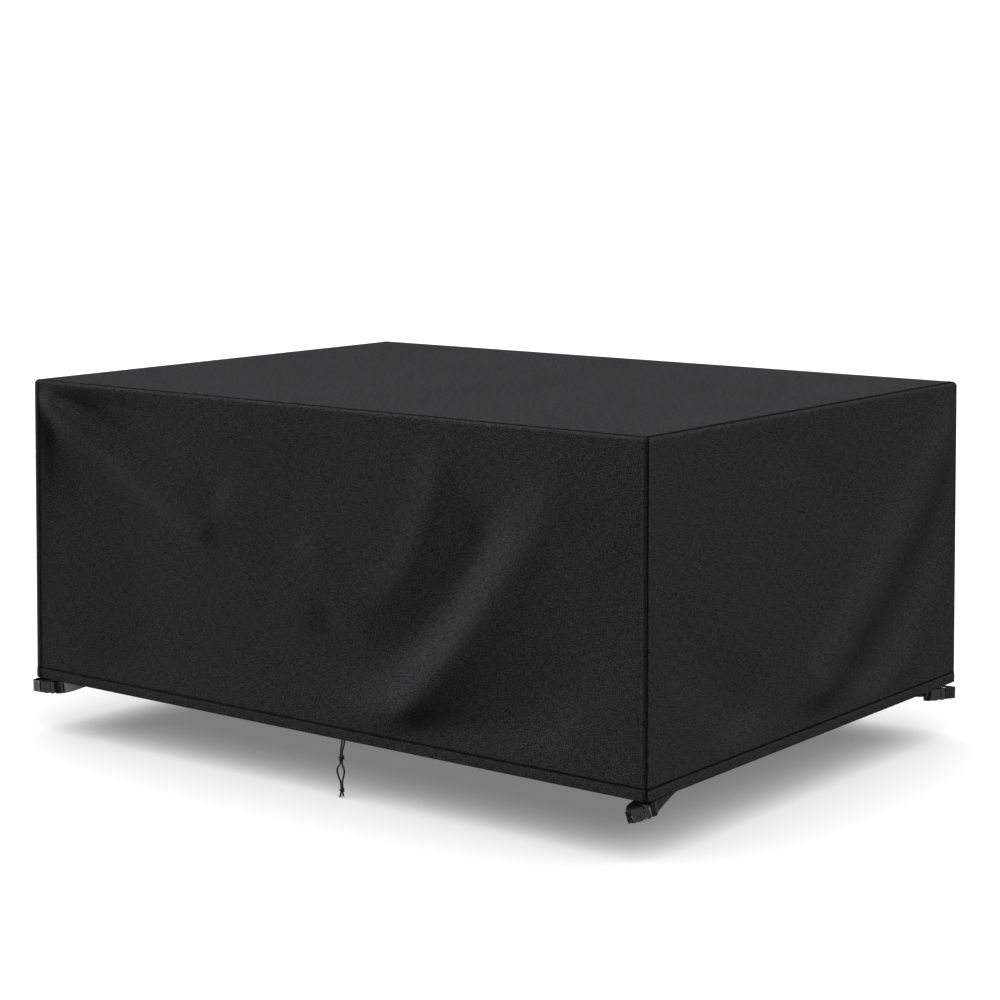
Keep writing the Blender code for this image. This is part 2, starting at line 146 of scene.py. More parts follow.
def sweptPiece(name, centres, across, flat, section):
    # a closed section carried along a line
    loop = np.vstack([section, section[:1]])
    places = (centres[None] + loop[:, 0, None, None] * across[None]
              + loop[:, 1, None, None] * flat[None])
    uvs = np.stack(np.broadcast_arrays(runningLength(centres), runningLength(loop)[:, None]), -1)
    piece, _, _ = gridPiece(name, places, uvs)
    closeTube(piece)
    return piece


def roundSection(radius, sides):
    turn = np.arange(sides) * 2 * math.pi / sides
    return np.stack([np.cos(turn), np.sin(turn)], -1) * radius


def frameAlong(points, first):
    # axes that follow a line without twisting
    ahead = headings(points)
    across = np.empty_like(points)
    side = np.array(first, float)
    for i, head in enumerate(ahead):
        side = side - head * (side @ head)
        side = side / np.linalg.norm(side)
        across[i] = side
    return across, np.cross(ahead, across)


def roundPiece(name, points, radius, sides=14, first=(0, 1, 0)):
    across, flat = frameAlong(points, first)
    return sweptPiece(name, points, across, flat, roundSection(radius, sides))


class Wire:
    # an output socket that can be added and multiplied in Python
    def __init__(self, finish, socket):
        self.finish, self.socket = finish, socket

    def __add__(self, other):
        return self.finish.maths("ADD", self, other)

    def __sub__(self, other):
        return self.finish.maths("SUBTRACT", self, other)

    def __rsub__(self, other):
        return self.finish.maths("SUBTRACT", other, self)

    def __mul__(self, other):
        return self.finish.maths("MULTIPLY", self, other)

    __radd__ = __add__
    __rmul__ = __mul__


class Finish:
    def __init__(self, name, look):
        self.material = bpy.data.materials.new(name)
        self.material.use_nodes = True
        self.tree = self.material.node_tree
        self.shader = self.tree.nodes["Principled BSDF"]
        self.feed(self.shader, {"Roughness": look["roughness"],
                                "Specular IOR Level": look["specular"]})

    def feed(self, node, values):
        for name, value in values.items():
            if isinstance(value, Wire):
                self.tree.links.new(value.socket, node.inputs[name])
            else:
                node.inputs[name].default_value = value

    def node(self, kind, settings=None, values=None, out=0):
        made = self.tree.nodes.new(kind)
        for name, value in (settings or {}).items():
            setattr(made, name, value)
        self.feed(made, values or {})
        return Wire(self, made.outputs[out])

    def maths(self, operation, first, second=0.0):
        return self.node("ShaderNodeMath", {"operation": operation}, {0: first, 1: second})

    def wave(self, along, pitch):
        return self.maths("SINE", along * (math.pi / pitch))

    def size(self, value):
        return self.maths("ABSOLUTE", value)

    def noise(self, vector, scale, detail=2.0):
        return self.node("ShaderNodeTexNoise", None,
                         {"Vector": vector, "Scale": scale, "Detail": detail})

    def stretched(self, vector, scale):
        return self.node("ShaderNodeMapping", None, {"Vector": vector, "Scale": scale})

    def tint(self, factor, dark, light):
        return self.node("ShaderNodeMix", {"data_type": "RGBA"},
                         {0: factor, 6: (*dark, 1), 7: (*light, 1)}, out=2)

    def bump(self, height, distance, strength=1.0):
        return self.node("ShaderNodeBump", None,
                         {"Height": height, "Distance": distance, "Strength": strength})

    def coords(self, kind):
        return self.node("ShaderNodeTexCoord", out=kind)

    def axes(self, vector):
        split = self.tree.nodes.new("ShaderNodeSeparateXYZ")
        self.feed(split, {0: vector})
        return [Wire(self, split.outputs[i]) for i in range(3)]


clothFinish = {
    "dark": (0.0022, 0.0022, 0.0024), "light": (0.0430, 0.0430, 0.0445),
    "roughness": 0.62, "specular": 0.0, "pitch": 0.0017, "relief": 0.00022,
    # scales per metre of the threads' slubs, the flecks and the broad cast
    "slubScale": (60.0, 560.0), "fleckScale": 440.0, "castScale": 2.6,
    # how much each of them and the furrows lighten the cloth, and what brings the mean back
    "slub": 2.2, "fleck": 3.2, "cast": 0.10, "furrow": 0.30, "level": 2.40,
}


def coverCloth():
    made, look = Finish("coverCloth", clothFinish), clothFinish
    place = made.coords("UV")
    u, v, _ = made.axes(place)
    pitch = look["pitch"]
    warp, weft = made.wave(u, pitch), made.wave(v, pitch)
    over = warp * weft  # threads that cross over and under
    furrow = made.size(warp) * made.size(weft)
    long, short = look["slubScale"]
    slub = (made.noise(made.stretched(place, (long, short, 1.0)), 1.0)
            + made.noise(made.stretched(place, (short, long, 1.0)), 1.0)) * 0.5
    fleck = made.noise(place, look["fleckScale"])
    cast = made.noise(place, look["castScale"])
    shade = (slub * look["slub"] + fleck * look["fleck"] + cast * look["cast"]
             + furrow * look["furrow"] - look["level"])
    # the seams and stitched rows are darker: partly thread and needle holes, partly painted shade
    # in their grooves; the band beside each upright seam is painted shade
    seamDarkAndPaintedShade = made.node("ShaderNodeAttribute", {"attribute_name": "seamDarkAndPaintedShade"}, out="Fac")
    shade = shade * (1 - seamDarkAndPaintedShade)
    weave = over * 0.35 + furrow * 0.5 + slub * 0.5 + fleck * 0.25
    made.feed(made.shader, {
        "Base Color": made.tint(shade, look["dark"], look["light"]),
        "Roughness": look["roughness"] + (fleck - 0.5) * 0.16,
        "Normal": made.bump(weave, look["relief"]),
    })
    return made.material


webbingFinish = {
    "dark": (0.0022, 0.0022, 0.0024), "light": (0.0100, 0.0100, 0.0105),
    "roughness": 0.52, "specular": 0.12, "rib": 0.0011, "relief": 0.00018,
}


def strapWebbing():
    made, look = Finish("strapWebbing", webbingFinish), webbingFinish
    place = made.coords("UV")
    along, around, _ = made.axes(place)
    rib = look["rib"]
    twill = made.wave(along + around * 0.5, rib) * made.wave(around, rib * 1.6)
    ridges = made.size(made.wave(along, rib))
    lint = made.noise(place, 900.0)
    made.feed(made.shader, {
        "Base Color": made.tint(ridges * 0.45 + lint * 0.5, look["dark"], look["light"]),
        "Roughness": look["roughness"] + lint * 0.14,
        "Normal": made.bump(ridges * 0.6 + twill * 0.3 + lint * 0.3, look["relief"]),
    })
    return made.material


plasticFinish = {
    "dark": (0.0045, 0.0045, 0.005), "light": (0.0085, 0.0085, 0.009),
    "roughness": 0.15, "specular": 0.34, "relief": 0.00003,
}


def bucklePlastic():
    made, look = Finish("bucklePlastic", plasticFinish), plasticFinish
    place = made.coords("Object")
    flow = made.noise(place, 60.0, 3.0)
    grain = made.noise(place, 2600.0)
    made.feed(made.shader, {
        "Base Color": made.tint(flow, look["dark"], look["light"]),
        "Roughness": look["roughness"] + flow * 0.10 + grain * 0.06,
        "Normal": made.bump(grain + flow * 0.6, look["relief"]),
    })
    return made.material


braidFinish = {
    "dark": (0.005, 0.005, 0.0055), "light": (0.019, 0.019, 0.020),
    "roughness": 0.60, "specular": 0.10, "pick": 0.0013, "relief": 0.00025,
}


def drawcordBraid():
    made, look = Finish("drawcordBraid", braidFinish), braidFinish
    place = made.coords("UV")
    along, around, _ = made.axes(place)
    leftTurn = made.wave(along + around * 0.9, look["pick"])
    rightTurn = made.wave(along - around * 0.9, look["pick"])
    plait = made.size(leftTurn * rightTurn)
    fuzz = made.noise(place, 1400.0)
    made.feed(made.shader, {
        "Base Color": made.tint(plait * 0.6 + fuzz * 0.4, look["dark"], look["light"]),
        "Roughness": look["roughness"] + fuzz * 0.14,
        "Normal": made.bump(plait * 0.8 + fuzz * 0.3, look["relief"]),
    })
    return made.material


threadFinish = {
    "dark": (0.002, 0.002, 0.0022), "light": (0.006, 0.006, 0.0064),
    "roughness": 0.60, "specular": 0.05, "relief": 0.00012,
}


def sewingThread():
    made, look = Finish("sewingThread", threadFinish), threadFinish
    place = made.coords("Object")
    twist = made.noise(place, 2200.0, 1.0)
    made.feed(made.shader, {
        "Base Color": made.tint(twist, look["dark"], look["light"]),
        "Normal": made.bump(twist, look["relief"]),
    })
    return made.material


clothLook, tapeLook, plasticLook = coverCloth(), strapWebbing(), bucklePlastic()
braidLook, threadLook = drawcordBraid(), sewingThread()
print("finishes made")


studio = {
    "place": (3.84536, -4.94808, 0.6636), "tilt": 85.0, "turn": 37.694,
    "lens": 86.09, "shift": -0.1626, "floor": -0.9405,
    "background": 1.0, "roomLight": 0.10,
    "overhead": 3.6, "overheadAngle": 120, "overheadTilt": (4, 4),
}
floorFinish = {
    "dark": (0.93, 0.93, 0.93), "light": (0.95, 0.95, 0.95), "roughness": 0.85, "specular": 0.1,
    "glow": 0.2,  # keeps the shadow under the cover pale
}
softLights = {  # compass angle from +X, height, spread in degrees, strength
    "keyLeft": (-169, 8, 16, 12.5),
    "highRight": (0, 58, 24, 5.1),
    "lowFront": (-40, 30, 50, 0.30),
    "rimBack": (118, 14, 40, 1.2),
}


def addToScene(name, data):
    made = bpy.data.objects.new(name, data)
    bpy.context.scene.collection.objects.link(made)
    return made


def addSun(name, strength, spread, turns, receivers):
    sun = addToScene(name, bpy.data.lights.new(name, "SUN"))
    sun.data.energy, sun.data.angle = strength, math.radians(spread)
    sun.rotation_euler = [math.radians(turn) for turn in turns]
    sun.light_linking.receiver_collection = receivers


def makeCamera():
    camera = bpy.context.scene.camera = addToScene("camera", bpy.data.cameras.new("camera"))
    camera.location = studio["place"]
    camera.rotation_euler = (math.radians(studio["tilt"]), 0, math.radians(studio["turn"]))
    camera.data.sensor_width, camera.data.lens = 36.0, studio["lens"]
    camera.data.shift_y = studio["shift"]
    camera.data.clip_end = 500.0


def makeRoom():
    # white where the camera sees it, dimmer as a light
    scene = bpy.context.scene
    scene.view_settings.view_transform = "Standard"
    scene.world = bpy.data.worlds.new("paleRoom")
    scene.world.use_nodes = True
    nodes, links = scene.world.node_tree.nodes, scene.world.node_tree.links
    room, seen = nodes["Background"], nodes.new("ShaderNodeBackground")
    room.inputs["Strength"].default_value = studio["roomLight"]
    seen.inputs["Strength"].default_value = studio["background"]
    for sky in (room, seen):
        sky.inputs["Color"].default_value = (1.0, 1.0, 1.0, 1)
    mix, ray = nodes.new("ShaderNodeMixShader"), nodes.new("ShaderNodeLightPath")
    links.new(ray.outputs["Is Camera Ray"], mix.inputs[0])
    links.new(room.outputs[0], mix.inputs[1])
    links.new(seen.outputs[0], mix.inputs[2])
    links.new(mix.outputs[0], nodes["World Output"].inputs["Surface"])


def makeFloorAndLights():
    deselectAll()
    bpy.ops.mesh.primitive_plane_add(size=400, location=(0, 0, studio["floor"]))
    floor = bpy.context.object
    floor.name = "floor"
    made = Finish("paleFloor", floorFinish)
    place = made.coords("Object")
    paint = made.tint(made.noise(place, 1.5), floorFinish["dark"], floorFinish["light"])
    made.feed(made.shader, {"Base Color": paint, "Emission Color": (1.0, 1.0, 1.0, 1.0),
                            "Emission Strength": floorFinish["glow"]})
    floor.data.materials.append(made.material)
    floor.visible_diffuse = False
    # one light is for the floor alone, the soft lights are for all but the floor
    receivers = {"INCLUDE": "floorOnly", "EXCLUDE": "allButFloor"}
    for state, name in receivers.items():
        receivers[state] = bpy.data.collections.new(name)
        receivers[state].objects.link(floor)
        receivers[state].collection_objects[0].light_linking.link_state = state
    addSun("overhead", studio["overhead"], studio["overheadAngle"],
           (*studio["overheadTilt"], 0), receivers["INCLUDE"])
    for name, (compass, height, spread, strength) in softLights.items():
        addSun(name, strength, spread, (90 - height, 0, compass + 90), receivers["EXCLUDE"])


makeCamera()
makeRoom()
makeFloorAndLights()
print("studio made")


# Sizes shared by the pieces, as in the part's source.
cover = {
    "hemLength": 1.972, "hemWidth": 1.450, "height": 0.800, "lean": 0.004,
    "sheet": 0.0018, "seamGap": 0.0003, "roll": 0.012, "topCorner": 0.003,
    "wallCorner": 0.007, "hemDepth": 0.028,
}
hemFoot = cover["sheet"] - cover["height"]
stitchDepth = cover["height"] - cover["hemDepth"]
seamX = cover["hemLength"] / 2 - cover["lean"] - cover["roll"]
seamY = cover["hemWidth"] / 2 - cover["lean"] - cover["roll"]


drawcord = {
    "y": -(cover["hemWidth"] / 2 - cover["sheet"] / 2), "diameter": 0.0046,
    # (x, z below the hem's foot)
    "left": ((0.1021, 0.0), (0.1011, -0.012), (0.0981, -0.026), (0.0971, -0.0365),
             (0.0972, -0.0445), (0.0971, -0.0525), (0.0956, -0.060), (0.0886, -0.069),
             (0.0861, -0.079), (0.0901, -0.091), (0.0966, -0.102), (0.0986, -0.1165),
             (0.0988, -0.1225), (0.0986, -0.1285), (0.0971, -0.134), (0.0951, -0.1410)),
    "right": ((0.1096, 0.0), (0.1081, -0.012), (0.1034, -0.026), (0.1021, -0.0365),
              (0.1020, -0.0445), (0.1021, -0.0525), (0.1026, -0.060), (0.1071, -0.069),
              (0.1091, -0.078), (0.1066, -0.089), (0.1030, -0.103), (0.1036, -0.1165),
              (0.1036, -0.1225), (0.1036, -0.1285), (0.1048, -0.132), (0.1056, -0.1375)),
}
knots = {  # middle x, top, bottom, reach across, reach out, turns, node
    "knotUpper": (0.0999, -0.0392, -0.0502, 0.0062, 0.0050, 2.15, "knot_upper"),
    "knotLower": (0.1012, -0.1185, -0.1268, 0.0047, 0.0042, 1.60, "knot_lower"),
}


def makeDrawcord():
    for name, (x, top, bottom, across, out, turns, node) in knots.items():
        share = np.linspace(0, 1, 72)
        angle = math.radians(200) + share * turns * 2 * math.pi
        tuck = 1 - 0.75 * (1 - ease(share, 0.0, 0.12)) - 0.75 * ease(share, 0.88, 1.0)
        lay = top + (bottom - top) * share
        points = np.stack([x + across * tuck * np.cos(angle),
                           drawcord["y"] - out * tuck * np.sin(angle),
                           hemFoot + lay + 0.0012 * np.sin(angle + 0.6)], -1)
        knot = roundPiece(name, points, drawcord["diameter"] * 0.47, first=(0, 0, 1))
        finishPiece(knot, braidLook, [node], 60)
    for side in ("left", "right"):
        route = [(x, drawcord["y"], hemFoot + z) for x, z in drawcord[side]]
        points = smoothRoute(route, 4)
        strand = roundPiece("drawcord" + side.title(), points, drawcord["diameter"] / 2, 16)
        nodes = [f"cord_{side}_{part}" for part in ("top", "loop", "end")]
        finishPiece(strand, braidLook, nodes, 60)


makeDrawcord()
print("drawcord made")


# A fold is (start, pull, end, half width, rise at start, rise at end), each place being
# (distance from the left edge, depth below the top) as seen from outside.
sides = {
    "frontPanel": {
        "along": (1, 0, 0), "out": (0, -1, 0), "halfLength": seamX, "distance": seamY,
        "node": "front_panel", "flat": (1.980, 0.860),
        "folds": (
            ((0.03, 0.03), (0.36, 0.165), (0.78, 0.37), 0.045, 0.018, 0.002),
            ((0.56, 0.26), (0.95, 0.44), (1.20, 0.73), 0.085, 0.003, 0.005),
            ((0.32, 0.02), (0.60, 0.05), (0.88, 0.13), 0.045, 0.005, 0.001),
            ((0.12, 0.01), (0.42, 0.05), (0.70, 0.17), 0.048, -0.016, -0.003),
            ((0.24, 0.22), (0.42, 0.42), (0.40, 0.66), 0.190, -0.011, -0.006),
            ((1.00, 0.36), (1.24, 0.62), (1.38, 0.12), 0.055, 0.005, 0.004),
            ((1.04, 0.54), (1.26, 0.73), (1.52, 0.26), 0.060, -0.006, -0.008),
            ((1.70, 0.18), (1.50, 0.50), (1.22, 0.77), 0.075, 0.006, 0.018),
            ((1.80, 0.24), (1.66, 0.48), (1.44, 0.66), 0.110, 0.003, 0.004),
            ((1.78, 0.58), (1.66, 0.68), (1.44, 0.76), 0.110, -0.003, -0.010),
        ),
        "creases": (
            ((0.04, 0.04), (0.22, 0.15), (0.62, 0.34), 0.038, 0.0065, 0.0060),
            ((0.02, 0.07), (0.09, 0.19), (0.22, 0.34), 0.055, -0.0070, -0.0010),
            ((0.10, 0.03), (0.30, 0.07), (0.66, 0.24), 0.042, -0.0060, -0.0055),
            ((1.38, 0.16), (1.33, 0.32), (1.22, 0.45), 0.024, 0.0008, 0.0004),
            ((1.60, 0.30), (1.46, 0.52), (1.28, 0.70), 0.026, 0.0006, 0.0010),
            ((1.93, 0.20), (1.84, 0.30), (1.62, 0.40), 0.028, 0.0006, 0.0002),
            ((0.60, 0.66), (0.80, 0.70), (1.00, 0.69), 0.040, -0.0008, -0.0006),
        ),
    },
    "rightPanel": {
        "along": (0, 1, 0), "out": (1, 0, 0), "halfLength": seamY, "distance": seamX,
        "node": "right_panel", "flat": (1.458, 0.860),
        "folds": (
            ((1.42, 0.13), (1.13, 0.39), (0.74, 0.68), 0.082, 0.011, 0.017),
            ((1.40, 0.30), (1.22, 0.55), (0.96, 0.70), 0.080, -0.012, -0.010),
            ((1.30, 0.56), (1.28, 0.66), (1.18, 0.74), 0.080, 0.005, 0.007),
            ((0.08, 0.44), (0.22, 0.57), (0.38, 0.66), 0.110, -0.006, -0.012),
            ((0.56, 0.08), (0.70, 0.15), (0.84, 0.26), 0.080, -0.004, -0.006),
        ),
        "creases": (
            ((1.38, 0.12), (1.20, 0.24), (1.02, 0.38), 0.026, 0.0016, 0.0008),
            ((1.02, 0.42), (0.88, 0.50), (0.74, 0.62), 0.026, 0.0010, 0.0016),
            ((0.10, 0.62), (0.24, 0.70), (0.44, 0.70), 0.030, 0.0012, 0.0010),
            ((0.30, 0.12), (0.44, 0.20), (0.52, 0.34), 0.040, -0.0010, -0.0006),
        ),
    },
    "backPanel": {
        "along": (-1, 0, 0), "out": (0, 1, 0), "halfLength": seamX, "distance": seamY,
        "node": "back_panel", "flat": (1.980, 0.860),
        "folds": (
            ((1.92, 0.04), (1.30, 0.34), (0.95, 0.70), 0.080, 0.012, 0.006),
            ((0.10, 0.08), (0.44, 0.34), (0.62, 0.70), 0.080, 0.010, 0.007),
            ((0.90, 0.20), (1.10, 0.36), (1.30, 0.22), 0.090, -0.008, -0.008),
        ),
        "creases": (
            ((1.88, 0.06), (1.60, 0.18), (1.36, 0.26), 0.024, 0.0016, 0.0006),
            ((0.12, 0.12), (0.30, 0.22), (0.44, 0.40), 0.026, 0.0014, 0.0008),
            ((0.70, 0.66), (0.98, 0.70), (1.30, 0.62), 0.040, -0.0010, -0.0010),
            ((1.50, 0.30), (1.62, 0.46), (1.80, 0.52), 0.034, 0.0012, 0.0010),
        ),
    },
    "leftPanel": {
        "along": (0, -1, 0), "out": (-1, 0, 0), "halfLength": seamY, "distance": seamX,
        "node": "left_panel", "flat": (1.458, 0.860),
        "folds": (
            ((0.04, 0.06), (0.50, 0.36), (0.70, 0.70), 0.080, 0.012, 0.006),
            ((1.38, 0.10), (1.08, 0.40), (0.94, 0.68), 0.080, 0.008, 0.008),
            ((0.60, 0.20), (0.78, 0.36), (0.98, 0.20), 0.090, -0.008, -0.006),
        ),
        "creases": (
            ((0.06, 0.10), (0.26, 0.20), (0.42, 0.36), 0.026, 0.0014, 0.0006),
            ((1.34, 0.16), (1.18, 0.28), (1.08, 0.44), 0.026, 0.0012, 0.0008),
            ((0.40, 0.64), (0.70, 0.70), (1.00, 0.62), 0.040, -0.0010, -0.0010),
        ),
    },
}
topCloth = {
    "node": "top_panel", "flat": (1.950, 1.428), "step": 0.0115,
    "ripple": 0.0009, "dip": 0.0012, "pucker": 0.00028,
    "folds": (
        ((0.20, 0.25), (0.90, 0.60), (1.70, 0.40), 0.160, -0.003, -0.004),
        ((0.35, 1.15), (0.90, 0.95), (1.60, 1.10), 0.160, -0.004, -0.003),
        ((0.90, 0.10), (1.05, 0.70), (0.95, 1.30), 0.110, 0.002, 0.002),
    ),
}
hang = {
    "thickness": 0.0012, "step": 0.0095,
    "freeOfTop": 0.05, "freeOfCorner": 0.08, "freeOfHem": 0.09,
    "freeOfStrap": (0.18, 0.30), "freeOfSeam": 0.15,
    "hemInside": 0.0030, "ripple": 0.00022, "pucker": 0.00035,
}
# shade sets the painted shade in a band left of each upright seam, seen from outside
uprightSeam = {"ditch": 0.0012, "ridge": 0.0014, "hollow": 0.0003, "shade": 0.45}


def foldRise(across, depth, folds, crispness=1.8):
    place = np.stack(np.broadcast_arrays(across, depth), -1)
    total = np.zeros(place.shape[:-1])
    t = np.linspace(0, 1, 33)[:, None]
    for start, pull, end, halfWidth, riseStart, riseEnd in folds:
        line = ((1 - t) ** 2 * np.array(start) + 2 * t * (1 - t) * np.array(pull)
                + t * t * np.array(end))
        nearest, when = np.full(total.shape, 9.0), np.zeros(total.shape)
        for k in range(len(line) - 1):
            piece = line[k + 1] - line[k]
            s = np.clip((place - line[k]) @ piece / (piece @ piece), 0, 1)
            away = np.linalg.norm(place - line[k] - s[..., None] * piece, axis=-1)
            closer = away < nearest
            nearest[closer], when[closer] = away[closer], (k + s[closer]) / (len(line) - 1)
        rise = riseStart + (riseEnd - riseStart) * when
        total += rise * np.exp(-(nearest / halfWidth) ** crispness)
    return total


def ripple(across, depth):
    # the slight unevenness of cloth that hangs free
    waves = ((41, 17, 0.3), (-23, 38, 1.9), (66, 29, 4.0), (19, -71, 2.6), (88, -36, 0.9))
    return sum(np.sin(a * across + b * depth + c) for a, b, c in waves) / len(waves)


def pucker(along):
    # the gathers that a row of stitches leaves
    waves = ((171, 0.0, 0.5), (262, 1.1, 0.3), (97, 2.3, 0.4))
    return sum(np.sin(along * pace + start) * reach for pace, start, reach in waves)


def sideSlack(across, depth, width):
    fromEdge = np.minimum(across, width - across)
    fromStrap = np.hypot(fromEdge, cover["height"] - depth)
    return (ease(depth, cover["roll"], cover["roll"] + hang["freeOfTop"])
            * ease(fromEdge, cover["wallCorner"], hang["freeOfCorner"])
            * (1 - ease(depth, stitchDepth - hang["freeOfHem"], stitchDepth))
            * ease(fromStrap, *hang["freeOfStrap"]))


def sideRows():
    # depth, tilt, stand out of the wall's plane, and seam darkening (thread plus painted shade in
    # the grooves), from the top seam to inside the hem
    rows = [(0.0, 0.0, -0.0011 - tuck, 1.0) for tuck in (0.0080, 0.0040, 0.0010)]
    roll = cover["roll"]
    for arc in (0.0, 0.7, 1.6, 2.8, 4.4, 6.4, 8.6, 11.0, 13.6, 16.2, 18.85):
        tilt = min(arc / 1000 / roll, math.pi / 2)
        proud = 0.0007 * math.sin(2 * tilt) - 0.0011 * (1 - float(ease(arc, 0.0, 3.0)))
        # under the top seam the cloth is darkened: thread plus painted shade in the seam's groove
        seamDarkAndPaintedShade = 1.0 if arc < 5 else 0.6 if arc < 7 else 0.2 if arc < 9 else 0.0
        rows.append((roll * (1 - math.cos(tilt)), tilt, proud, seamDarkAndPaintedShade))
    wallEnd = stitchDepth - 0.008
    count = round((wallEnd - roll) / hang["step"])
    for i in range(1, count + 1):
        rows.append((roll + (wallEnd - roll) * i / count, math.pi / 2, 0.0, 0.0))
    # over the hem's stitched row the cloth is darkened: thread plus painted shade in its groove
    for below, proud, seamDarkAndPaintedShade in (
            (-0.0045, 0.0, 0.0), (-0.0022, -0.0001, 0.5), (-0.0010, -0.0003, 1.0),
            (0.0, -0.0005, 1.0), (0.0010, -0.0002, 1.0), (0.0022, 0.0005, 0.5),
            (0.0045, 0.0010, 0.0), (0.008, 0.0012, 0.0), (0.012, 0.0012, 0.0),
            (0.016, 0.0012, 0.0), (0.020, 0.0011, 0.0), (0.0235, 0.0010, 0.0)):
        rows.append((stitchDepth + below, math.pi / 2, proud, seamDarkAndPaintedShade))
    outer, inner = 0.0009, -hang["hemInside"]
    half = (outer - inner) / 2
    for i in range(9):
        turn = math.pi * i / 8
        rows.append((cover["height"] - half + half * math.sin(turn), math.pi / 2,
                     inner + half + half * math.cos(turn), 0.0))
    for below in (0.022, 0.016, 0.010, 0.005, 0.0015, -0.0015, -0.0040):
        rows.append((stitchDepth + below, math.pi / 2, inner, 0.0))
    return np.array(rows)


def graded(length, near, step):
    # places along an edge, closer together at both of its ends
    near = np.array(near)
    count = round((length - 2 * near[-1]) / step)
    middle = np.linspace(near[-1], length - near[-1], count + 1)[1:-1]
    return np.concatenate([near, middle, length - near[::-1]])


def sideStations(side):
    # place on the straight run from -1 to 1, turn round the corner, and how far the cloth is
    # turned in at the seam, left to right
    turns = np.radians([8, 16, 24, 31, 37, 41.5, 45, 45, 45, 45])
    tucks = np.array([0, 0, 0, 0, 0, 0, 0, 0.0012, 0.0045, 0.0090])
    length = 2 * side["halfLength"]
    near = [0.0, 0.0025, 0.005, 0.0075, 0.010, 0.013, 0.016, 0.020, 0.025, 0.031, 0.038]
    run = graded(length, near, hang["step"]) / length * 2 - 1
    share = np.concatenate([-np.ones(len(turns)), run, np.ones(len(turns))])
    turn = np.concatenate([-turns[::-1], np.zeros(len(run)), turns])
    tuck = np.concatenate([tucks[::-1], np.zeros(len(run)), tucks])
    return share, turn, tuck


def sidePlaces(side, share, turn, tuck, depth, tilt, proud):
    along, out = np.array(side["along"], float), np.array(side["out"], float)
    reach = cover["roll"] * np.sin(tilt)
    down = np.clip((depth - cover["roll"]) / (cover["height"] - cover["roll"]), 0, 1)
    reach = reach + cover["lean"] * down
    radius = cover["topCorner"] + (cover["wallCorner"] - cover["topCorner"]) * np.sin(tilt)
    straight = side["halfLength"] + reach - radius
    run = share * straight
    width = 2 * (side["halfLength"] + cover["roll"])
    across = run + width / 2
    # the turned edge starts below the shoulder
    tuck = tuck * (0.06 + 0.94 * ease(depth, 0.004, 0.020))
    fromLeft = turn * radius + run + straight
    toRight = 2 * straight - fromLeft
    slack = np.where(turn == 0, sideSlack(across, depth, width), 0.0)
    rise = slack * (foldRise(across, depth, side["folds"])
                    + foldRise(across, depth, side["creases"], 2.0)
                    + hang["ripple"] * ripple(across, depth))
    # gathers under the top seam and over the hem's stitches
    calm = ease(np.minimum(fromLeft, toRight), 0.0, 0.05)
    gathers = np.exp(-np.abs(depth - 0.016) / 0.016) + np.exp(-np.abs(depth - stitchDepth) / 0.014)
    rise = rise + hang["pucker"] * calm * gathers * pucker(across)
    # the upright seam: a ditch, with the turned edges on its right and a faint hollow on its left
    ditch = uprightSeam["ditch"] * sum(np.exp(-((edge + 0.0055) / 0.0022) ** 2)
                                       for edge in (fromLeft, toRight))
    ridge = uprightSeam["ridge"] * ease(fromLeft, 0.0, 0.004) * (1 - ease(fromLeft, 0.009, 0.014))
    hollow = uprightSeam["hollow"] * np.exp(-((toRight - 0.013) / 0.006) ** 2)
    seam = np.where(tilt >= math.pi / 2 - 1e-6, 1.0, 0.4) * (ridge - ditch - hollow)
    proud = proud + np.where(proud > -0.002, seam, 0.0)
    facing = along * np.sin(turn)[..., None] + out * np.cos(turn)[..., None]
    place = along * run[..., None] + out * (side["distance"] + reach - radius + rise)[..., None]
    place = place + facing * (radius + proud * np.sin(tilt) - tuck)[..., None]
    place[..., 2] += cover["sheet"] - depth + proud * np.cos(tilt)
    last = np.abs(np.abs(turn) - math.pi / 4) < 1e-6
    roundCorner = along * np.cos(turn)[..., None] - out * np.sin(turn)[..., None]
    place = place - roundCorner * (np.sign(turn) * cover["seamGap"] / 2 * last)[..., None]
    return place


def clothSheet(name, place, uvs, seamDarkAndPaintedShade):
    piece, row, column = gridPiece(name, place, uvs)
    # the seam darkening, thread plus painted shade, is kept on the points for the cloth's finish
    mark = piece.data.attributes.new("seamDarkAndPaintedShade", "FLOAT", "POINT")
    mark.data.foreach_set("value", seamDarkAndPaintedShade[row, column].astype(np.float32))
    applyModifier(piece, "SOLIDIFY", thickness=hang["thickness"], offset=-1.0,
                  use_quality_normals=True)
    return piece


def makeSide(name, side):
    rows = sideRows()
    share, turn, tuck = sideStations(side)
    grid = [np.broadcast_to(rows[:, i, None], (len(rows), len(share))) for i in range(4)]
    depth, tilt, proud, seamDarkAndPaintedShade = grid
    share, turn, tuck = (np.broadcast_to(line, depth.shape) for line in (share, turn, tuck))
    place = sidePlaces(side, share, turn, tuck, depth, tilt, proud)
    profile = np.stack([cover["roll"] * np.sin(rows[:, 1]) + rows[:, 2], rows[:, 0]], -1)
    across = (share * side["halfLength"] + turn * cover["wallCorner"] + np.sign(turn) * tuck
              + side["halfLength"] + cover["roll"])
    uvs = np.stack([across, np.broadcast_to(-runningLength(profile)[:, None], across.shape)], -1)
    # the ditch where two panels meet is darkened: a dark joint plus painted shade
    atSeam = np.clip((np.abs(turn) - math.radians(26)) / math.radians(12), 0, 1)
    toRight = np.where(turn > 0, 0.0, (1 - share) * side["halfLength"])
    # a band at each panel's right end, left of the upright seam seen from outside, is painted shade
    paintedShadeBesideSeam = uprightSeam["shade"] * (1 - ease(toRight, 0.003, 0.008))
    piece = clothSheet(name, place, uvs, np.maximum(np.maximum(seamDarkAndPaintedShade, atSeam), paintedShadeBesideSeam))
    finishPiece(piece, clothLook, [side["node"]])
    print(name, "made,", len(piece.data.polygons), "faces")


